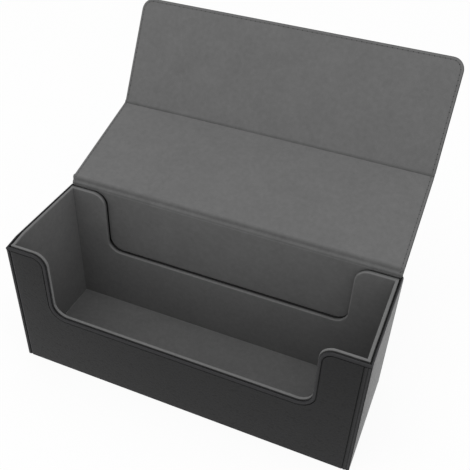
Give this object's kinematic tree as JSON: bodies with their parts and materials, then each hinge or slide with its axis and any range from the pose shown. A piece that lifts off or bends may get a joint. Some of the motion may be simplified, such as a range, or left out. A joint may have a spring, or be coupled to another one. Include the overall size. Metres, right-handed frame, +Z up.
{
  "type": "card storage box",
  "caption": "Long open card box in dark leatherette lined with grey microfibre, with a U cut-out front wall, a soft-hinged lid and a front flap that closes by hidden magnets.",
  "frame": {"origin": "on the table, midway along and across the tray; the cover panel stands behind the tray", "axes": "+X along the box's length, +Y from the front wall to the cover panel, +Z up"},
  "size_m": [0.304, 0.2471, 0.2511],
  "materials": {
    "leatherette": "satin",
    "microfibre": "matte",
    "greyboard": "matte",
    "magnet": "satin"
  },
  "bodies": {
    "tray": {"bottom_skin": "leatherette", "front_skin": "leatherette", "left_skin": "leatherette", "right_skin": "leatherette", "back_skin": "leatherette", "rear_skin": "leatherette", "front_liner_cover": "microfibre", "rear_liner_cover": "microfibre", "left_liner_cover": "microfibre", "right_liner_cover": "microfibre", "floor_liner_cover": "microfibre", "rear_lining": "microfibre", "floor_board": "greyboard", "front_board": "greyboard", "back_board": "greyboard", "left_board": "greyboard", "right_board": "greyboard", "rear_board": "greyboard", "front_liner_board": "greyboard", "rear_liner_board": "greyboard", "left_liner_board": "greyboard", "right_liner_board": "greyboard", "floor_liner_board": "greyboard", "front_magnets": "magnet"},
    "lid": {"lid_board": "greyboard", "lid_skin": "leatherette", "lid_lining": "microfibre", "lid_hinge_skin": "leatherette", "lid_hinge_lining": "microfibre"},
    "flap": {"flap_board": "greyboard", "flap_skin": "leatherette", "flap_lining": "microfibre", "flap_magnets": "magnet", "flap_hinge_skin": "leatherette", "flap_hinge_lining": "microfibre"}
  },
  "joints": [
    {"name": "lid_hinge", "type": "hinge", "parent": "tray", "child": "lid", "pos_m": [0, 0.0503, 0.1312], "axis": [1, 0, 0], "range_deg": [-55.5, 162.5], "deforming": ["lid_hinge_skin", "lid_hinge_lining"]},
    {"name": "flap_hinge", "type": "hinge", "parent": "lid", "child": "flap", "pos_m": [0, 0.1491, 0.16235], "axis": [1, 0, 0], "range_deg": [-43.9, 46.1], "deforming": ["flap_hinge_skin", "flap_hinge_lining"]}
  ]
}
